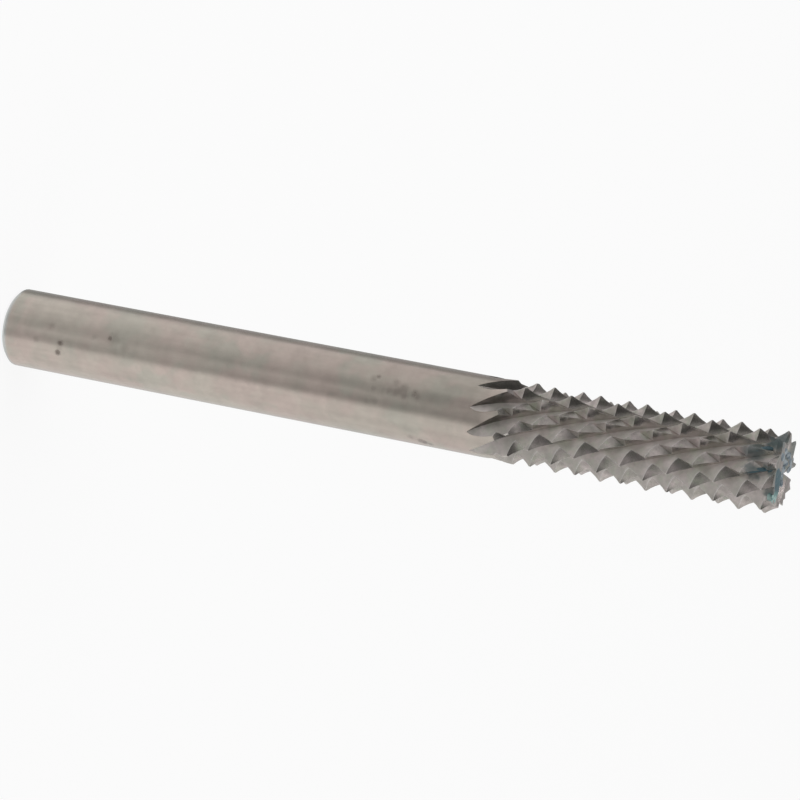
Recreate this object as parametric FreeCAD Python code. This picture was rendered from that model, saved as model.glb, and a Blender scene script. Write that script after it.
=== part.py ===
import FreeCAD, Part
import math
import os

# A solid carbide burr router bit, ground from one rod: a plain round shank, and a cutting head
# on which two families of spiral V grooves cross and leave rows of pyramid teeth.
# It stands on its shank end: the origin is the centre of that face, and +Z runs to the tip.

# Shank and overall sizes, in millimetres
shank_diameter = 4.7625
overall_length = 49.4
shank_chamfer = 0.22

# Cutting head. Its blank widens from the shank over the taper and has its full diameter over the
# shoulder, the last stretch before the full-depth grooves
head_diameter = 4.9
head_length = 15.0
head_taper_length = 1.6
head_shoulder = 1.2
head_corner = 0.15
edge_relief = 0.05

# Main grooves, left-hand. Angles are in degrees, lengths in millimetres
main_count = 10
main_depth = 0.87
main_helix_angle = 30.0
main_ridge_share = 0.72
main_phase = -5.7
main_runout = 4.0

# Cross grooves, right-hand, which break the main ridges into teeth
cross_count = 9
cross_depth = 0.71
cross_helix_angle = 30.0
cross_ridge_share = 0.74
cross_phase = 5.4
cross_runout = 2.25

# End cut: a dished face with two V gashes, each sunk by a wheel. The chip gash crosses the
# axis along X. The far gash runs along Y and opens through the side at +Y
end_dish = 0.12
chip_gash_depth = 0.6
chip_gash_slope_width = 1.1
chip_gash_wall_width = 0.3
chip_gash_wheel_radius = 3.5
chip_gash_offset = 0.15
far_gash_depth = 0.48
far_gash_slope_width = 0.6
far_gash_wall_width = 0.25
far_gash_wheel_radius = 3.0
far_gash_offset = 1.5

# How a groove rises out of the rod, how far it runs on beyond the end face, and the turn between
# two of its sections
runout_curve = 2.0
runout_clearance = 0.12
end_overrun = 1.0
step_angle = 12.0

# Sizes that follow from those above
shank_radius = shank_diameter / 2
head_radius = head_diameter / 2
ridge_radius = head_radius + edge_relief
clear_radius = ridge_radius + runout_clearance
tool_length = overall_length + end_overrun
full_depth_start = overall_length - head_length
head_start = full_depth_start - max(main_runout, cross_runout, head_shoulder + head_taper_length)


def polar(radius, angle, z):
    """A point at a radius and an angle in degrees, counted from the side at -Y."""
    turn = math.radians(angle - 90.0)
    return FreeCAD.Vector(radius * math.cos(turn), radius * math.sin(turn), z)


def turned(profile):
    """The solid that a closed profile of (radius, z) corners sweeps around the axis."""
    corners = [FreeCAD.Vector(radius, 0, z) for radius, z in profile]
    outline = Part.makePolygon(corners + corners[:1])
    return Part.Face(outline).revolve(FreeCAD.Vector(0, 0, 0), FreeCAD.Vector(0, 0, 1), 360)


def grooved_core(count, depth, helix_angle, hand, ridge_share, phase, runout):
    """The rod that one family of grooves leaves: a star section that turns along the axis.

    Each groove is a V with a long back and a steep cutting face. Its floor lies at the full
    depth along the head, then rises out of the rod over the run-out, as a wheel leaves it.
    """
    pitch = 360.0 / count
    turn_per_mm = hand * math.degrees(math.tan(math.radians(helix_angle)) / head_radius)
    stations = math.ceil(abs(turn_per_mm) * (tool_length - head_start) / step_angle)
    sections = []
    for station in range(stations + 1):
        z = head_start + (tool_length - head_start) * station / stations
        rise = max(0.0, full_depth_start - z) / runout
        floor = ridge_radius - depth + (clear_radius - ridge_radius + depth) * rise ** runout_curve
        ridge = floor + depth
        start = phase + turn_per_mm * (z - overall_length)
        corners = []
        for tooth in range(count):
            corners.append(polar(floor, start + tooth * pitch, z))
            corners.append(polar(ridge, start + (tooth + ridge_share) * pitch, z))
        sections.append(Part.makePolygon(corners + corners[:1]))
    return Part.makeLoft(sections, True, False)


def gash(depth, slope_width, wall_width, wheel_radius, offset, direction):
    """The wheel that sinks a V notch into the end face: a double cone with a sharp rim.

    The widths are those of the sloping and the steep wall at the end face. The deepest point
    lies at the offset from the axis, in the direction that is given in degrees from +X.
    """
    spread = wheel_radius / depth
    axle = overall_length - depth + wheel_radius
    corners = [
        FreeCAD.Vector(offset, 0, overall_length - depth),
        FreeCAD.Vector(offset, slope_width * spread, axle),
        FreeCAD.Vector(offset, -wall_width * spread, axle),
    ]
    profile = Part.Face(Part.makePolygon(corners + corners[:1]))
    wheel = profile.revolve(corners[1], FreeCAD.Vector(0, 1, 0), 360)
    wheel.rotate(FreeCAD.Vector(0, 0, 0), FreeCAD.Vector(0, 0, 1), direction)
    return wheel


# Shank, up to where the first groove leaves the rod
shank = turned([
    (0, 0),
    (shank_radius - shank_chamfer, 0),
    (shank_radius, shank_chamfer),
    (shank_radius, head_start),
    (0, head_start),
])

# Head blank, a little thicker than the shank, with a dished end
head_blank = turned([
    (0, head_start),
    (shank_radius, head_start),
    (shank_radius, full_depth_start - head_shoulder - head_taper_length),
    (head_radius, full_depth_start - head_shoulder),
    (head_radius, overall_length - head_corner),
    (head_radius - head_corner, overall_length),
    (0, overall_length - end_dish),
])

main_core = grooved_core(
    main_count, main_depth, main_helix_angle, -1, main_ridge_share, main_phase, main_runout
)
cross_core = grooved_core(
    cross_count, cross_depth, cross_helix_angle, 1, cross_ridge_share, cross_phase, cross_runout
)
head = head_blank.common(main_core).common(cross_core)
head = head.cut(gash(
    chip_gash_depth, chip_gash_slope_width, chip_gash_wall_width,
    chip_gash_wheel_radius, chip_gash_offset, 0
))
head = head.cut(gash(
    far_gash_depth, far_gash_slope_width, far_gash_wall_width,
    far_gash_wheel_radius, far_gash_offset, 90
))

burr_bit = shank.fuse(head).removeSplitter()

os.makedirs("parts", exist_ok=True)
burr_bit.exportStep("parts/burr_bit.step")
print("solids", len(burr_bit.Solids), "faces", len(burr_bit.Faces), "volume", burr_bit.Volume)
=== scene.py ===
import math

import bmesh
import bpy
import numpy as np
from mathutils import Matrix, Vector


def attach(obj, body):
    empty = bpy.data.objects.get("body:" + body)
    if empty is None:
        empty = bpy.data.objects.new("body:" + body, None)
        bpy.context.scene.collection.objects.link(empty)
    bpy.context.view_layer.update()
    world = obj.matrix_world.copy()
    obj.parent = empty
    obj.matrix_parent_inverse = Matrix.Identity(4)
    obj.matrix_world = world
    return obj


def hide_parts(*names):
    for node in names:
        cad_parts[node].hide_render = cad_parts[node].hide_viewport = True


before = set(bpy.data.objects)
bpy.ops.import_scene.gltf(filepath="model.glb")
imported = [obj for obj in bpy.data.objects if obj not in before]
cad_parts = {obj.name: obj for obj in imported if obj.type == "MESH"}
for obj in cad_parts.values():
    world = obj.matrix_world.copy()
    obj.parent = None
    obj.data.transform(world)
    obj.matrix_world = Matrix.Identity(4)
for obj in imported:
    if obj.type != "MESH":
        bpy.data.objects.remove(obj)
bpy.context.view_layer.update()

MM = 0.001
scene = bpy.context.scene
scene.view_settings.view_transform = "Standard"

# Camera: a long lens above the bit's middle, looking down at 21.5 degrees. It is turned on its
# own axis, so that the bit, which stands on its shank end, lies across the picture with its tip
# to the right.
picture = 800
sensor = 36.0
focal_pixels = 3371.15
sight_elevation = math.radians(21.5)
sight_roll = math.radians(100.906)
sight_distance = 198.795 * MM
aim = Vector((0.03365, 0.0, 25.734)) * MM

sight = Vector((0, math.cos(sight_elevation), -math.sin(sight_elevation)))
level_up = Vector((0, math.sin(sight_elevation), math.cos(sight_elevation)))
level_right = Vector((1, 0, 0))
right = level_right * math.cos(sight_roll) + level_up * math.sin(sight_roll)
up = level_up * math.cos(sight_roll) - level_right * math.sin(sight_roll)
camera = bpy.data.objects.new("camera", bpy.data.cameras.new("camera"))
scene.collection.objects.link(camera)
camera.matrix_world = Matrix.Translation(aim - sight * sight_distance) @ Matrix(
    (right, up, -sight)
).transposed().to_4x4()
camera.data.sensor_width = sensor
camera.data.lens = focal_pixels * sensor / picture
camera.data.shift_x = -0.5 / picture
camera.data.shift_y = 0.5 / picture
camera.data.clip_start = 1 * MM
camera.data.clip_end = 10
scene.camera = camera


# Floor: a plain white sheet under the shank end. The camera sees it as white paper that keeps
# part of the bit's shadow. Reflections pass it and see the soft boxes of the room.
floor_half = 3.0
paper_white = 0.92
paper_glow = 0.88

paper = bpy.data.meshes.new("floor")
paper.from_pydata(
    [(-floor_half, -floor_half, 0), (floor_half, -floor_half, 0),
     (floor_half, floor_half, 0), (-floor_half, floor_half, 0)],
    [], [(0, 1, 2, 3)],
)
floor = bpy.data.objects.new("floor", paper)
scene.collection.objects.link(floor)
floor.visible_glossy = False


def node(tree, kind, **settings):
    """A new node of this kind: settings by name, and its unlinked sockets by position or name."""
    made = tree.nodes.new(kind)
    values = settings.pop("values", {})
    for name, value in settings.items():
        setattr(made, name, value)
    for socket, value in values.items():
        if isinstance(value, bpy.types.NodeSocket):
            tree.links.new(value, made.inputs[socket])
        else:
            made.inputs[socket].default_value = value
    return made


def math_node(tree, operation, *values):
    """The result of one arithmetic step on numbers or on other nodes' results."""
    step = node(tree, "ShaderNodeMath", operation=operation, values=dict(enumerate(values)))
    return step.outputs[0]


def new_material(name):
    """An empty material with its output node, ready for the nodes of one finish."""
    material = bpy.data.materials.new(name)
    material.use_nodes = True
    material.node_tree.nodes.clear()
    return material, node(material.node_tree, "ShaderNodeOutputMaterial")


paper_material, paper_out = new_material("white_paper")
tree = paper_material.node_tree
sheet = node(tree, "ShaderNodeBsdfDiffuse", values={"Color": (paper_white,) * 3 + (1,)})
glow = node(tree, "ShaderNodeEmission", values={"Strength": 1.0})
seen = node(tree, "ShaderNodeLightPath").outputs["Is Camera Ray"]
mix = node(tree, "ShaderNodeMixShader", values={
    0: math_node(tree, "MULTIPLY", seen, paper_glow),
    1: sheet.outputs[0], 2: glow.outputs[0],
})
tree.links.new(mix.outputs[0], paper_out.inputs["Surface"])
paper.materials.append(paper_material)


# Room: a white studio with a broad soft box on either side of the bit. Towards the camera it is
# dark, and narrow gaps between the boxes and their edges draw the lines along the ground shank.
room = bpy.data.worlds.new("room")
room.use_nodes = True
scene.world = room
tree = room.node_tree
tree.nodes.clear()
direction = node(tree, "ShaderNodeTexCoord").outputs["Generated"]
split = node(tree, "ShaderNodeSeparateXYZ", values={0: direction})
# the bearing round the bit in degrees, nought at the camera, rising towards +X, and the height
bearing = math_node(tree, "MULTIPLY", math_node(
    tree, "ARCTAN2", split.outputs[0], math_node(tree, "MULTIPLY", split.outputs[1], -1.0)
), 180 / math.pi)
height = math_node(tree, "MULTIPLY", math_node(tree, "ARCSINE", split.outputs[2]), 180 / math.pi)


def between(tree, value, low, high, start=0.0, end=1.0, smooth=True):
    """A value's place between two limits, as a share that eases in and out."""
    return node(tree, "ShaderNodeMapRange",
                interpolation_type="SMOOTHSTEP" if smooth else "LINEAR", values={
                    "Value": value, "From Min": low, "From Max": high,
                    "To Min": start, "To Max": end}).outputs[0]


def product(tree, *values):
    """All the values multiplied together."""
    result = values[0]
    for value in values[1:]:
        result = math_node(tree, "MULTIPLY", result, value)
    return result


def level_ramp(tree, value, stops):
    """Light levels at given bearings, in degrees from -180 to 180, with even change between."""
    part = math_node(tree, "ADD", math_node(tree, "DIVIDE", value, 360.0), 0.5)
    ramp = node(tree, "ShaderNodeValToRGB", values={0: part})
    elements = ramp.color_ramp.elements
    while len(elements) < len(stops):
        elements.new(0.5)
    for element, (bearing_degrees, level) in zip(elements, stops):
        element.position = bearing_degrees / 360.0 + 0.5
        element.color = (level, level, level, 1)
    return ramp.outputs["Color"]


boxes = level_ramp(tree, bearing, [
    (-180, 0.44), (-158, 0.42), (-140, 0.36), (-129, 0.36), (-117, 0.75), (-104, 0.88),
    (-86, 0.86), (-70, 0.80), (-53, 0.76), (-39, 0.71), (-27, 0.64), (-18, 0.56), (-9, 0.65),
    (-1, 0.75), (8, 0.67), (17, 0.55), (25, 0.51), (31, 0.68), (37, 0.88), (46, 0.93),
    (62, 0.91), (90, 0.88), (120, 0.88), (140, 0.84), (165, 0.74), (180, 0.44),
])
low_boxes = level_ramp(tree, bearing, [
    (-180, 0.85), (-140, 0.85), (-100, 0.78), (-60, 0.72), (-20, 0.68), (20, 0.66), (60, 0.66),
    (100, 0.70), (150, 0.80), (180, 0.85),
])


def blend(tree, share, first, second):
    """A value that goes from the first to the second with a share from 0 to 1."""
    return node(tree, "ShaderNodeMix", data_type="FLOAT",
                values={0: share, 2: first, 3: second}).outputs[0]


# the levels of the two dark parts, and what share of the light is left in three dimmer parts
level_before, level_above = 0.18, 0.06
dim_higher_up, dim_in_dip, dim_to_left = 0.85, 0.75, 0.60

# round the bit: low boxes, the boxes above them, and the room a little dimmer higher up
all_round = blend(tree, between(tree, height, -40.0, -29.0), low_boxes, boxes)
all_round = product(tree, all_round, between(tree, height, -17.0, -9.0, 1.0, dim_higher_up))
# a dimmer strip crosses the boxes to the left and in front, a little below the bit's level
dip = product(
    tree,
    between(tree, height, -25.0, -20.0), between(tree, height, -16.0, -11.0, 1.0, 0.0),
    between(tree, bearing, -118.0, -104.0), between(tree, bearing, 28.0, 40.0, 1.0, 0.0),
)
all_round = product(tree, all_round, between(tree, dip, 0.0, 1.0, 1.0, dim_in_dip, smooth=False))
# two dark parts before the bit, one at its height and one higher up
slanted = math_node(tree, "ADD", height, product(tree, bearing, 0.25))
before = product(
    tree,
    between(tree, bearing, -46.0, -32.0), between(tree, bearing, 18.0, 28.0, 1.0, 0.0),
    between(tree, height, -26.0, -8.0), between(tree, slanted, 8.0, 17.0, 1.0, 0.0),
)
slightly_slanted = math_node(
    tree, "ADD", height, product(tree, math_node(tree, "MAXIMUM", bearing, -30.0), 0.10))
above = product(
    tree,
    between(tree, bearing, -110.0, -85.0), between(tree, bearing, 58.0, 74.0, 1.0, 0.0),
    between(tree, slightly_slanted, 17.0, 26.0), between(tree, height, 42.0, 60.0, 1.0, 0.0),
)
# above the level of the bit the room is dimmer to the left
to_left = product(
    tree,
    between(tree, bearing, -150.0, -120.0), between(tree, bearing, -75.0, -50.0, 1.0, 0.0),
    between(tree, height, -10.0, 4.0),
)
all_round = product(
    tree, all_round, between(tree, to_left, 0.0, 1.0, 1.0, dim_to_left, smooth=False))
level = blend(tree, before, all_round, level_before)
level = blend(tree, above, level, level_above)
soft = node(tree, "ShaderNodeBackground", values={"Color": level, "Strength": 1.0})
white = node(tree, "ShaderNodeBackground", values={"Color": (1, 1, 1, 1), "Strength": 1.0})
seen = node(tree, "ShaderNodeLightPath").outputs["Is Camera Ray"]
mix = node(tree, "ShaderNodeMixShader", values={0: seen, 1: soft.outputs[0], 2: white.outputs[0]})
tree.links.new(mix.outputs[0], node(tree, "ShaderNodeOutputWorld").inputs["Surface"])

# Lamp: one broad soft box above, for the shadow that the bit leaves on the paper.
lamp_place = Vector((-0.25, -0.1, 0.7))
lamp_aim = Vector((0, 0, 0.02))
lamp_width = 0.5
lamp_watts = 2.2

lamp_data = bpy.data.lights.new("soft_box", "AREA")
lamp_data.shape = "DISK"
lamp_data.size = lamp_width
lamp_data.energy = lamp_watts
lamp = bpy.data.objects.new("soft_box", lamp_data)
scene.collection.objects.link(lamp)
lamp.location = lamp_place
lamp.rotation_euler = (lamp_aim - lamp_place).to_track_quat("-Z", "Y").to_euler()


# Bit: one rod of sintered tungsten carbide. The shank is ground round between wheels, and the
# head is cut by two wheels that leave the crossed spiral grooves. The solid is the frame's own,
# and its shading normals are worked out anew from the surfaces that the wheels leave.
#
# Sizes in mm and angles in degrees. A groove's phase is the bearing of its floor at the end of
# the bit, and its ridge the share of the way to the next floor at which the ridge lies.
tool_length = 49.4
head_start_full = 34.4
head_radius = 2.45
shank_radius = 2.38125
shank_chamfer = 0.22
taper_start, taper_length = 31.6, 1.6
end_dish, dish_radius = 0.12, 2.3
helix_angle = 30.0
groove_turn = math.degrees(math.tan(math.radians(helix_angle)) / head_radius)
ridge_radius = 2.50
runout_rise = 0.12
runout_curve = 2.0
main_family = {
    "hand": -1, "count": 10, "phase": -5.7, "ridge": 0.72, "depth": 0.87, "runout": 4.0}
cross_family = {
    "hand": 1, "count": 9, "phase": 5.4, "ridge": 0.74, "depth": 0.71, "runout": 2.25}
chip_gash = {"depth": 0.6, "slope": 1.1, "wall": 0.3, "wheel": 3.5, "offset": 0.15}
far_gash = {"depth": 0.48, "slope": 0.6, "wall": 0.25, "wheel": 3.0, "offset": 1.5}

# Limits for matching a triangle to a surface: the most gap in mm and the least cosine between
# their normals, and what a difference in facing costs in mm
most_gap, least_facing, facing_cost = 0.03, 0.9, 0.3
weld_distance = 0.0005 * MM


def share_at(turn, z, family):
    """How far round from one groove's floor to the next a point lies, 0 to 1, along a family."""
    pitch = 360.0 / family["count"]
    floor_bearing = family["phase"] + family["hand"] * groove_turn * (z - tool_length)
    return ((turn - floor_bearing) / pitch) % 1.0


def flank_radius(turn, z, family, steep):
    """The radius of one flank of the V grooves: a straight line, seen along the axis, from the
    groove's floor to the ridge. Both rise together over the run-out, by a power of the way."""
    pitch = math.radians(360.0 / family["count"])
    rise = np.clip(head_start_full - z, 0, None) / family["runout"]
    floor = ridge_radius - family["depth"] + (family["depth"] + runout_rise) * rise ** runout_curve
    ridge = floor + family["depth"]
    share = share_at(turn, z, family)
    middle = (1 + family["ridge"]) / 2 if steep else family["ridge"] / 2
    share = middle + (share - middle + 0.5) % 1.0 - 0.5
    if steep:
        wide, along = (1 - family["ridge"]) * pitch, (1 - share) * pitch
    else:
        wide, along = family["ridge"] * pitch, share * pitch
    return floor * ridge * np.sin(wide) / (ridge * np.sin(wide - along) + floor * np.sin(along))


def gash_height(x, y, depth, slope, wall, wheel, offset):
    """The height of an end gash, sunk by a wheel with a sharp rim.

    The wheel's radius falls evenly to either side of the rim, by the depth over each wall's width.
    """
    reach = wheel - np.where(y > 0, y * depth / slope, -y * depth / wall)
    return tool_length - depth + wheel - np.sqrt(np.clip(reach ** 2 - (x - offset) ** 2, 0, None))


def surfaces(points):
    """How far points stand outside each surface of the bit, in mm, one row for each surface."""
    x, y, z = points.T
    around, turn = np.hypot(x, y), np.degrees(np.arctan2(x, -y))
    # the taper eases in and out, less than 0.01 mm off the cone, so that no edge shows at its ends
    widened = np.clip((z - taper_start) / taper_length, 0, 1)
    rows = [
        around - shank_radius,
        around - head_radius,
        around - shank_radius - (head_radius - shank_radius) * widened ** 2 * (3 - 2 * widened),
        around - shank_radius + shank_chamfer - z,
        -z,
        z - tool_length + end_dish * (1 - around / dish_radius),
    ]
    for family in (main_family, cross_family):
        for steep in (False, True):
            rows.append(around - flank_radius(turn, z, family, steep))
    for side in (1, -1):
        rows.append(z - gash_height(x, side * abs(y), **chip_gash))
        rows.append(z - gash_height(y, side * abs(x), **far_gash))
    return np.array(rows)


def slopes(points, step=1e-4):
    """The unit normal of every surface at every point, from its rise over one small step."""
    rise = np.stack([
        surfaces(points + step * axis) - surfaces(points - step * axis) for axis in np.eye(3)
    ], axis=-1)
    return rise / (np.linalg.norm(rise, axis=-1, keepdims=True) + 1e-12)


bit_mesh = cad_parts["burr_bit"].data.copy()
bit_mesh.name = "carbide_bit"
bit_mesh.materials.clear()
work = bmesh.new()
work.from_mesh(bit_mesh)
bmesh.ops.remove_doubles(work, verts=work.verts, dist=weld_distance)
bmesh.ops.triangulate(work, faces=work.faces)
work.to_mesh(bit_mesh)
work.free()

corner_of = np.empty(len(bit_mesh.loops), int)
bit_mesh.loops.foreach_get("vertex_index", corner_of)
points = np.empty(len(bit_mesh.vertices) * 3)
bit_mesh.vertices.foreach_get("co", points)
corners = points.reshape(-1, 3)[corner_of].reshape(-1, 3, 3) / MM
flat = np.cross(corners[:, 1] - corners[:, 0], corners[:, 2] - corners[:, 0])
flat /= np.linalg.norm(flat, axis=1, keepdims=True) + 1e-12
middle = corners.mean(axis=1)
# a triangle belongs to the surface that all its corners touch and that faces the way it does
touch = np.abs(np.stack([surfaces(corners[:, k]) for k in range(3)])).max(axis=0)
facing = (slopes(middle) * flat).sum(axis=-1)
cost = touch + facing_cost * (1 - facing)
chosen = cost.argmin(axis=0)
each = np.arange(len(chosen))
fits = (touch[chosen, each] < most_gap) & (facing[chosen, each] > least_facing)
normals = np.repeat(flat[:, None], 3, axis=1)
for k in range(3):
    found = slopes(corners[:, k])[chosen, each]
    normals[fits, k] = found[fits]

bit_mesh.shade_smooth()
bit_mesh.normals_split_custom_set(normals.reshape(-1, 3))
# which pass of the wheels left each triangle, for the finish: the rows that surfaces() gives
for name, row in (("main_back", 6), ("main_face", 7), ("cross_back", 8), ("cross_face", 9)):
    left_by = bit_mesh.attributes.new(name, "FLOAT", "FACE")
    left_by.data.foreach_set("value", (chosen == row).astype(np.float32))
bit = bpy.data.objects.new("carbide_bit", bit_mesh)
scene.collection.objects.link(bit)
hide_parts("burr_bit")
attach(bit, "root")
print("normals found for", int(fits.sum()), "of", len(fits), "triangles")


def mix_colour(tree, share, first, second, kind="MIX"):
    """One colour over another, by a share from 0 to 1."""
    return node(tree, "ShaderNodeMixRGB", blend_type=kind,
                values={0: share, 1: first, 2: second}).outputs[0]


def toned(tree, colour, tone):
    """A colour made darker or lighter by a tone, 1 for as it is."""
    grey = node(tree, "ShaderNodeCombineColor", values={0: tone, 1: tone, 2: tone}).outputs[0]
    return mix_colour(tree, 1.0, colour, grey, "MULTIPLY")


def combined(tree, *values):
    """Three values as one place in a pattern."""
    return node(tree, "ShaderNodeCombineXYZ", values=dict(enumerate(values))).outputs[0]


def moved(tree, vector, offset):
    """A place in a pattern, moved by an offset."""
    return node(tree, "ShaderNodeVectorMath", operation="ADD",
                values={0: vector, 1: offset}).outputs[0]


def noise(tree, vector, scale, detail=3.0, roughness=0.55):
    """A soft cloud pattern, 0 to 1."""
    return node(tree, "ShaderNodeTexNoise", values={
        "Vector": vector, "Scale": scale, "Detail": detail, "Roughness": roughness
    }).outputs["Fac"]


def place_in_mm(tree):
    """Where a point lies on its piece, in mm, and its three coordinates."""
    place = node(tree, "ShaderNodeTexCoord").outputs["Object"]
    scaled = node(tree, "ShaderNodeVectorMath", operation="SCALE",
                  values={0: place, "Scale": 1 / MM}).outputs[0]
    return scaled, node(tree, "ShaderNodeSeparateXYZ", values={0: scaled}).outputs


def spots(tree, in_mm, places, core, waver, waver_scale, waver_detail):
    """The share of the nearest of many round spots with wavering edges.

    Each place is a centre, a reach and a share, which holds over the core of the reach.
    """
    nearest = 0.0
    unevenness = product(tree, math_node(
        tree, "SUBTRACT", noise(tree, in_mm, waver_scale, waver_detail), 0.5), waver)
    for centre, reach, share in places:
        gap = node(tree, "ShaderNodeVectorMath", operation="DISTANCE",
                   values={0: in_mm, 1: centre}).outputs["Value"]
        gap = math_node(tree, "ADD", gap, unevenness)
        spot = between(tree, gap, reach * core, reach, share, 0.0)
        nearest = math_node(tree, "MAXIMUM", nearest, spot)
    return nearest


# Colours of the shank: warm grey with pink and green patches, the chamfer and the pits
shank_warm, shank_pink = (0.535, 0.485, 0.425, 1), (0.565, 0.480, 0.430, 1)
shank_green = (0.500, 0.478, 0.415, 1)
chamfer_grey = (0.600, 0.640, 0.640, 1)
pit_brown = (0.115, 0.082, 0.070, 1)
# Colours of the head: brown, pink and green greys, the painted light and shade of single faces,
# and the edges, worn and with a painted highlight
head_brown, head_pink = (0.405, 0.384, 0.345, 1), (0.530, 0.468, 0.452, 1)
head_green = (0.410, 0.434, 0.352, 1)
main_back_painted_light, near_floor_painted_light = (0.62, 0.585, 0.55, 1), (0.70, 0.66, 0.62, 1)
band_painted_reflection, runout_painted_shade = (0.20, 0.19, 0.175, 1), (0.10, 0.095, 0.085, 1)
low_back_painted_shade, high_back_painted_light = (0.22, 0.21, 0.195, 1), (0.68, 0.65, 0.625, 1)
edge_wear_and_highlight = (0.72, 0.69, 0.66, 1)
stain_blue = (0.080, 0.118, 0.122, 1)
edge_half_width = 0.09

carbide, carbide_out = new_material("ground_carbide")
tree = carbide.node_tree
in_mm, axes = place_in_mm(tree)
radius = math_node(tree, "SQRT", math_node(
    tree, "ADD", math_node(tree, "POWER", axes[0], 2.0), math_node(tree, "POWER", axes[1], 2.0)))
turn = math_node(tree, "MULTIPLY", math_node(
    tree, "ARCTAN2", axes[0], math_node(tree, "MULTIPLY", axes[1], -1.0)), 180 / math.pi)
from_end = math_node(tree, "SUBTRACT", axes[2], tool_length)


def groove_share(tree, family):
    """The nodes that give what share_at() gives."""
    twist = math_node(tree, "MULTIPLY", from_end, -family["hand"] * groove_turn)
    angle = math_node(tree, "ADD", turn, math_node(tree, "SUBTRACT", twist, family["phase"]))
    share = math_node(tree, "DIVIDE", angle, 360.0 / family["count"])
    return math_node(tree, "FLOORED_MODULO", share, 1.0)


main_share, cross_share = groove_share(tree, main_family), groove_share(tree, cross_family)

# On the ground cylinder the finish is the shank's, in the grooves the head's
cylinder = between(tree, radius, shank_radius - 0.02, shank_radius - 0.008)
behind_head = between(tree, axes[2], 32.2, 33.4, 1.0, 0.0)
plain = math_node(tree, "MULTIPLY", cylinder, behind_head)

# Colour: warm grey in soft patches of pink, green and grey, a little darker towards the head
patches = noise(tree, in_mm, 0.30, 3.0)
greens = noise(tree, moved(tree, in_mm, (7.0, 3.0, 11.0)), 0.45, 3.0)
clouds = noise(tree, moved(tree, in_mm, (2.0, 9.0, 5.0)), 0.9, 5.0, 0.6)
tint = mix_colour(tree, between(tree, patches, 0.40, 0.60), shank_warm, shank_pink)
tint = mix_colour(tree, between(tree, greens, 0.50, 0.66, 0.0, 0.8), tint, shank_green)
tone = between(tree, clouds, 0.30, 0.70, 0.90, 1.08, smooth=False)
streaks = noise(tree, combined(
    tree, product(tree, turn, 0.11), product(tree, axes[2], 0.07), 3.0), 1.0)
tone = product(tree, tone, between(tree, streaks, 0.30, 0.70, 0.96, 1.04, smooth=False),
               between(tree, axes[2], 12.0, 32.0, 1.0, 0.93))
tint = toned(tree, tint, tone)
head_tint = mix_colour(tree, between(tree, noise(tree, in_mm, 0.9, 4.0), 0.38, 0.62),
                       head_brown, head_pink)
head_tint = mix_colour(tree, between(tree, noise(tree, in_mm, 1.6, 2.0), 0.5, 0.68, 0.0, 0.6),
                       head_tint, head_green)
grime = between(tree, noise(tree, in_mm, 2.2, 5.0, 0.6), 0.32, 0.68, 0.87, 1.34, smooth=False)
colour = mix_colour(tree, plain, toned(tree, head_tint, grime), tint)

# Finish of the four kinds of tooth face: the main backs are matt, the steep cross faces half
# matt, and the rest polished
main_back, main_face, cross_back, cross_face = (
    node(tree, "ShaderNodeAttribute", attribute_name=name).outputs["Fac"]
    for name in ("main_back", "main_face", "cross_back", "cross_face"))
matt = math_node(tree, "ADD", main_back, product(tree, cross_face, 0.5))
# painted light: the main backs are painted lighter
colour = mix_colour(tree, product(tree, main_back, 0.35), colour, main_back_painted_light)
# painted light and shade: the cutting faces are painted lighter towards the floor and carry a
# painted dark reflection in a band above it, and the cross backs are painted darker towards the
# floor and lighter at the ridge
near_floor_light = product(tree, main_face, between(tree, radius, 1.75, 2.00, 0.50, 0.0))
reflection_band = product(tree, main_face, between(tree, radius, 1.88, 2.00),
               between(tree, radius, 2.12, 2.25, 1.0, 0.0))
colour = mix_colour(tree, near_floor_light, colour, near_floor_painted_light)
colour = mix_colour(tree, product(tree, reflection_band, 0.45), colour, band_painted_reflection)
# painted shade: where the cutting faces run out into the shank they are painted darkest
run_out_shade = product(tree, main_face, between(tree, axes[2], 32.4, 34.2, 0.62, 0.0))
colour = mix_colour(tree, run_out_shade, colour, runout_painted_shade)
# painted shade on the cross backs towards the floor, and a painted highlight at their ridge
low_back_shade = product(tree, cross_back, between(tree, radius, 1.85, 2.05, 0.40, 0.0))
high_back_highlight = product(tree, cross_back, between(tree, radius, 2.02, 2.22, 0.0, 0.12))
colour = mix_colour(tree, low_back_shade, colour, low_back_painted_shade)
colour = mix_colour(tree, high_back_highlight, colour, high_back_painted_light)


def flank(tree, share, family):
    """The nodes that give what flank_radius() gives, for the back or the cutting face."""
    pitch = math.radians(360.0 / family["count"])
    before_full = math_node(
        tree, "MAXIMUM", math_node(tree, "SUBTRACT", head_start_full, axes[2]), 0.0)
    rise = math_node(tree, "DIVIDE", before_full, family["runout"])
    low = math_node(tree, "ADD", ridge_radius - family["depth"],
                    product(tree, rise, rise, family["depth"] + runout_rise))
    high = math_node(tree, "ADD", low, family["depth"])
    on_back = math_node(tree, "LESS_THAN", share, family["ridge"])
    wide = blend(tree, on_back, (1 - family["ridge"]) * pitch, family["ridge"] * pitch)
    along = product(
        tree, pitch, blend(tree, on_back, math_node(tree, "SUBTRACT", 1.0, share), share))
    over = product(tree, low, high, math_node(tree, "SINE", wide))
    under = math_node(
        tree, "ADD",
        product(tree, high, math_node(tree, "SINE", math_node(tree, "SUBTRACT", wide, along))),
        product(tree, low, math_node(tree, "SINE", along)))
    return math_node(tree, "DIVIDE", over, under)


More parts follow.
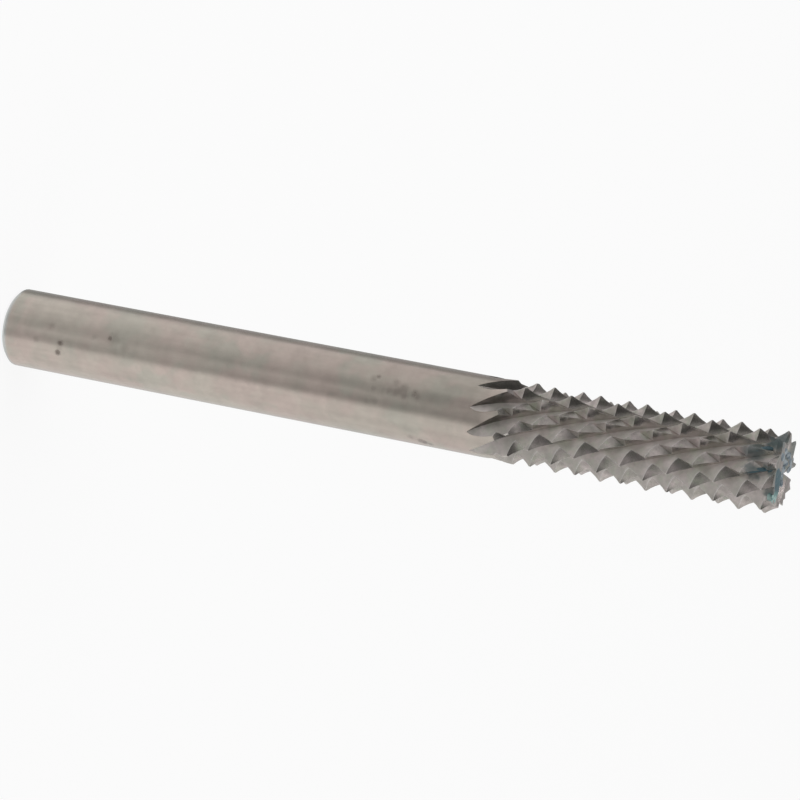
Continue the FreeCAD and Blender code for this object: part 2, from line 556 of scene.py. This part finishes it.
# Wear and painted highlight: every edge between two faces is a little brighter, where the two
# flanks meet and along the ridges of both families, partly from wear and partly as a painted
# highlight
def ridge_line(tree, share, family, half_width):
    """A line along the ridges of one family, 1 on the ridge and 0 beyond the half width in mm."""
    off = math_node(tree, "ABSOLUTE", math_node(tree, "SUBTRACT", share, family["ridge"]))
    off_mm = product(tree, off, math.radians(360.0 / family["count"]) * head_radius)
    return between(tree, off_mm, half_width * 0.3, half_width, 1.0, 0.0)


main_flank = flank(tree, main_share, main_family)
cross_flank = flank(tree, cross_share, cross_family)
flanks_apart = math_node(tree, "ABSOLUTE", math_node(tree, "SUBTRACT", main_flank, cross_flank))
meeting = between(tree, flanks_apart, 0.015, 0.06, 1.0, 0.0)
on_main = math_node(tree, "ADD", main_back, main_face)
on_cross = math_node(tree, "ADD", cross_back, cross_face)
main_ridges = product(
    tree, ridge_line(tree, main_share, main_family, edge_half_width), on_main)
cross_ridges = product(
    tree, ridge_line(tree, cross_share, cross_family, edge_half_width), on_cross)
worn_and_lit_edge = math_node(tree, "MAXIMUM", main_ridges, cross_ridges)
on_teeth = math_node(tree, "ADD", on_main, on_cross)
worn_and_lit_edge = math_node(tree, "MAXIMUM", worn_and_lit_edge, product(tree, meeting, on_teeth))
# what is left of the head's round surface on top of the teeth
land = product(tree, between(tree, radius, 2.42, 2.44), between(tree, axes[2], 33.0, 33.6))
worn_and_lit_edge = math_node(tree, "MAXIMUM", worn_and_lit_edge, land)
worn_and_lit_edge = product(tree, worn_and_lit_edge, between(tree, noise(tree, in_mm, 1.3, 2.0), 0.30, 0.62, 0.35, 1.0))
# the edges are painted brighter, partly wear and partly a painted highlight
colour = mix_colour(tree, product(tree, worn_and_lit_edge, 0.60), colour, edge_wear_and_highlight)

# Shank end: the chamfer is lighter and cooler than the ground cylinder
rim = between(tree, axes[2], 0.20, 0.46, 0.75, 0.0)
colour = mix_colour(tree, rim, colour, chamfer_grey)

# Pits and smudges on the shank: place and reach in mm, and share
marks = [
    ((0.530, -2.322, 4.165), 0.27, 0.72), ((1.113, -2.105, 3.978), 0.27, 0.68),
    ((0.820, -2.230, 4.080), 0.32, 0.12), ((-0.308, -2.361, 7.417), 0.25, 0.62),
    ((-0.340, -2.350, 7.600), 0.60, 0.20), ((-0.413, -2.345, 3.371), 0.30, 0.18),
    ((0.546, -2.318, 2.459), 0.30, 0.20), ((0.039, -2.381, 8.525), 0.45, 0.16),
    ((-0.230, -2.370, 6.342), 0.25, 0.12), ((-1.088, -2.118, 24.954), 0.22, 0.45),
    ((-0.942, -2.187, 24.697), 0.30, 0.22), ((-0.394, -2.348, 26.264), 0.32, 0.32),
    ((-0.641, -2.293, 26.695), 0.50, 0.36), ((-0.936, -2.190, 26.172), 0.35, 0.22),
    ((-0.480, -2.332, 27.469), 0.32, 0.40), ((-0.347, -2.356, 27.633), 0.30, 0.28),
    ((-0.421, -2.344, 25.848), 0.28, 0.22), ((-0.375, -2.352, 24.856), 0.26, 0.18),
    ((0.367, -2.353, 25.100), 0.30, 0.18), ((0.427, -2.343, 24.531), 0.28, 0.14),
    ((2.131, -1.062, 27.898), 0.34, 0.40), ((2.173, -0.974, 28.128), 0.32, 0.55),
    ((2.203, -0.903, 28.426), 0.28, 0.35), ((2.030, -1.245, 27.300), 0.30, 0.20),
    ((-0.504, -2.327, 26.507), 0.40, 0.36), ((-0.319, -2.360, 26.813), 0.36, 0.34),
]
pit = spots(tree, in_mm, marks, 0.20, 0.22, 3.0, 2.0)
colour = mix_colour(tree, pit, colour, pit_brown)

# Stains that the wax leaves round it: place and reach in mm, and share
stains = [
    ((0.20, -1.95, 48.05), 0.75, 0.75), ((-1.05, -1.75, 47.90), 0.95, 0.75),
    ((0.55, -0.95, 49.30), 0.95, 0.90), ((1.25, -1.20, 49.20), 0.60, 0.80),
    ((-0.70, 0.40, 49.20), 1.00, 0.65), ((-1.75, -1.30, 49.00), 0.95, 0.90),
    ((-1.90, -0.40, 48.90), 0.80, 0.85), ((-0.50, 1.50, 49.20), 0.70, 0.55),
    ((-1.60, 1.20, 49.20), 0.80, 0.60), ((-0.10, -1.90, 49.10), 0.45, 0.70),
]
film = spots(tree, in_mm, stains, 0.35, 0.9, 2.5, 3.0)

# Grinding lines: round the shank, and along each groove in the head
shank_lines = noise(tree, combined(
    tree, product(tree, turn, 0.004), 0.0, product(tree, axes[2], 9.0)), 1.0, 4.0, 0.7)
down_groove = product(tree, axes[2], 0.35)
main_lines = noise(tree, combined(tree, product(tree, main_share, 40.0), down_groove, 0.0), 1.0)
cross_lines = noise(tree, combined(tree, product(tree, cross_share, 40.0), down_groove, 5.0), 1.0)
head_lines = blend(tree, 0.5, main_lines, cross_lines)
lines = blend(tree, plain, head_lines, shank_lines)
bump = node(tree, "ShaderNodeBump", values={
    "Strength": 0.16, "Distance": 0.02 * MM, "Height": lines}).outputs[0]

# Roughness and share of bare metal: matt faces are rougher, and dirt and wax cover the metal
rough = blend(tree, plain, between(tree, matt, 0.0, 1.0, 0.25, 0.42, smooth=False), 0.22)
cloudy = product(tree, math_node(tree, "SUBTRACT", clouds, 0.5), 0.10)
rough = math_node(tree, "ADD", rough, cloudy)
covered = math_node(tree, "MAXIMUM", product(tree, pit, 0.6), product(tree, film, 0.8))
finish = node(tree, "ShaderNodeBsdfPrincipled", values={
    "Base Color": mix_colour(tree, film, colour, stain_blue),
    "Roughness": rough,
    "Metallic": product(tree, between(tree, matt, 0.0, 1.0, 0.95, 0.5, smooth=False),
                        math_node(tree, "SUBTRACT", 1.0, covered)),
    "Normal": bump,
})
tree.links.new(finish.outputs[0], carbide_out.inputs["Surface"])
bit_mesh.materials.append(carbide)


# Wax: the blue-green residue at the tip. Lumps sit partly in the carbide, smeared over the end
# face and pressed into the last stretch of two grooves. They stay below the end of the bit.
unevenness, below_end = 0.16, 0.005
wax_dark, wax_blue = (0.035, 0.066, 0.084, 1), (0.085, 0.165, 0.190, 1)
wax_slate, wax_mist = (0.115, 0.155, 0.190, 1), (0.33, 0.375, 0.40, 1)
wax_green, wax_pale = (0.120, 0.245, 0.240, 1), (0.36, 0.50, 0.47, 1)


def lump(centre, normal, along, radii, seed, around=28, down=14):
    """A closed lump with uneven sides, from an angle round its middle and an angle from its top.

    Its three radii lie along the smear, across it and along the normal. The surface is that of
    an ellipsoid, pushed in and out by a few waves with random directions.
    """
    chance = np.random.default_rng(seed)
    up_way = np.array(normal, float) / np.linalg.norm(normal)
    first = np.array(along, float) - np.dot(along, up_way) * up_way
    first /= np.linalg.norm(first)
    axes_of = np.stack([first, np.cross(up_way, first), up_way])
    turns = np.linspace(0, 2 * np.pi, around, endpoint=False)
    tilts = np.linspace(0, np.pi, down + 2)[1:-1]
    tilt, spin = np.meshgrid(tilts, turns, indexing="ij")
    way = np.stack([np.sin(tilt) * np.cos(spin), np.sin(tilt) * np.sin(spin), np.cos(tilt)], -1)
    way = np.concatenate([[[0, 0, 1]], way.reshape(-1, 3), [[0, 0, -1]]])
    push = np.ones(len(way))
    for waves in (1.5, 3.0, 5.5):
        facing_way = chance.normal(size=(3, 3))
        wave = np.sin(way @ facing_way * waves + chance.uniform(0, 6, 3)).mean(axis=1)
        push += unevenness / waves ** 0.5 * wave
    corners = np.array(centre) + (way * push[:, None] * np.array(radii)) @ axes_of
    corners[:, 2] = np.minimum(corners[:, 2], tool_length - below_end)
    index = 1 + np.arange(down * around).reshape(down, around)
    beside = np.roll(index, -1, axis=1)
    sides = np.stack([index[:-1], index[1:], beside[1:], beside[:-1]], axis=-1).reshape(-1, 4)
    above_all, below_all = np.zeros(around, int), np.full(around, down * around + 1)
    caps = np.stack([
        np.stack([above_all, index[0], beside[0]], axis=-1),
        np.stack([below_all, beside[-1], index[-1]], axis=-1),
    ], axis=1).reshape(-1, 3)
    return corners, sides, caps


up_z, along_gash = (0, 0, 1), (1, 0.35, 0)
lumps = [
    # dark smear over the end face and into the gash, then the pale lump at its lower end
    ((0.06, -1.15, 49.32), up_z, along_gash, (0.34, 0.50, 0.07)),
    ((0.38, -0.85, 49.31), up_z, along_gash, (0.42, 0.62, 0.08)),
    ((0.72, -0.70, 49.31), up_z, along_gash, (0.44, 0.60, 0.08)),
    ((1.02, -0.62, 49.31), up_z, along_gash, (0.38, 0.52, 0.08)),
    ((0.35, -0.12, 49.02), up_z, (1, 0, 0), (0.55, 0.30, 0.22)),
    ((0.85, 0.00, 49.02), up_z, (1, 0, 0), (0.50, 0.28, 0.22)),
    ((0.12, -1.58, 49.08), (0.10, -0.97, 0.20), (0.9, 0, 0.3), (0.30, 0.20, 0.08)),
    ((1.28, -0.88, 49.32), up_z, along_gash, (0.34, 0.56, 0.09)),
    ((1.50, -0.70, 49.31), up_z, along_gash, (0.26, 0.44, 0.08)),
    ((1.44, -1.20, 49.18), (0.46, -0.87, 0.15), (0.9, 0.45, 0), (0.26, 0.17, 0.09)),
    # pale edge along the gash
    ((-0.20, 0.52, 49.12), (0, -0.47, 0.88), (1, 0, 0), (0.26, 0.20, 0.09)),
    ((0.20, 0.58, 49.11), (0, -0.47, 0.88), (1, 0, 0), (0.24, 0.14, 0.07)),
    ((0.62, 0.66, 49.18), (0, -0.47, 0.88), (1, 0, 0), (0.28, 0.12, 0.06)),
    # grey-blue patches over the upper half
    ((-0.92, -0.70, 49.33), up_z, (0.3, 1, 0), (0.50, 0.24, 0.065)),
    ((-1.28, -0.30, 49.33), up_z, (0.3, 1, 0), (0.42, 0.20, 0.06)),
    ((-0.62, -0.10, 49.04), up_z, (1, 0.2, 0), (0.44, 0.26, 0.16)),
    ((-1.06, 0.56, 49.31), (0.2, -0.4, 0.88), (0.4, 1, 0), (0.34, 0.20, 0.07)),
    ((-0.66, 0.50, 49.16), (0.1, -0.46, 0.88), (0.4, 1, 0), (0.36, 0.20, 0.08)),
    ((-0.74, 1.12, 49.33), up_z, (0.6, 1, 0), (0.48, 0.22, 0.06)),
    ((-0.34, 1.30, 49.30), up_z, (-0.4, 1, 0), (0.46, 0.20, 0.06)),
    ((-0.90, 1.52, 49.31), up_z, (0.5, 1, 0), (0.30, 0.16, 0.06)),
    # pressed into the last stretch of two grooves
    ((0.16, -1.94, 48.10), (-0.45, -0.87, 0.15), (-0.30, 0.15, 0.94), (0.52, 0.13, 0.06)),
    ((-0.02, -1.80, 48.62), (-0.42, -0.89, 0.15), (-0.30, 0.15, 0.94), (0.40, 0.14, 0.07)),
    ((-1.08, -1.62, 48.10), (-0.60, -0.78, 0.15), (-0.26, 0.20, 0.94), (0.50, 0.15, 0.08)),
    ((-1.24, -1.40, 48.62), (-0.70, -0.70, 0.15), (-0.26, 0.20, 0.94), (0.40, 0.14, 0.07)),
]
corners, faces = [], []
for seed, shape in enumerate(lumps, start=1):
    new_corners, sides, caps = lump(*shape, seed)
    start = sum(len(part) for part in corners)
    corners.append(new_corners)
    faces += (sides + start).tolist() + (caps + start).tolist()
wax_mesh = bpy.data.meshes.new("wax")
wax_mesh.from_pydata((np.concatenate(corners) * MM).tolist(), [], faces)
wax_mesh.shade_smooth()
wax = bpy.data.objects.new("wax", wax_mesh)
scene.collection.objects.link(wax)
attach(wax, "root")

wax_material, wax_out = new_material("blue_green_wax")
tree = wax_material.node_tree
in_mm, axes = place_in_mm(tree)
cloud = noise(tree, in_mm, 3.0, 4.0)
on_end = between(tree, axes[2], 48.85, 49.0)
pale = product(tree, between(tree, axes[0], 0.95, 1.25), between(tree, axes[2], 48.7, 48.9))
grey = math_node(tree, "MAXIMUM", between(tree, axes[0], -0.35, -0.10, 1.0, 0.0),
                 between(tree, axes[1], 0.25, 0.42))
veins = between(tree, cloud, 0.4, 0.6)
colour = mix_colour(tree, cloud, wax_dark, wax_blue)
colour = mix_colour(tree, product(tree, grey, on_end), colour,
                    mix_colour(tree, veins, wax_slate, wax_mist))
colour = mix_colour(tree, pale, colour, mix_colour(tree, veins, wax_green, wax_pale))
grain = node(tree, "ShaderNodeBump", values={
    "Strength": 0.35, "Distance": 0.03 * MM, "Height": noise(tree, in_mm, 9.0, 4.0)}).outputs[0]
wax_finish = node(tree, "ShaderNodeBsdfPrincipled", values={
    "Base Color": colour,
    "Roughness": between(tree, cloud, 0.3, 0.7, 0.30, 0.50),
    "Normal": grain,
})
tree.links.new(wax_finish.outputs[0], wax_out.inputs["Surface"])
wax_mesh.materials.append(wax_material)
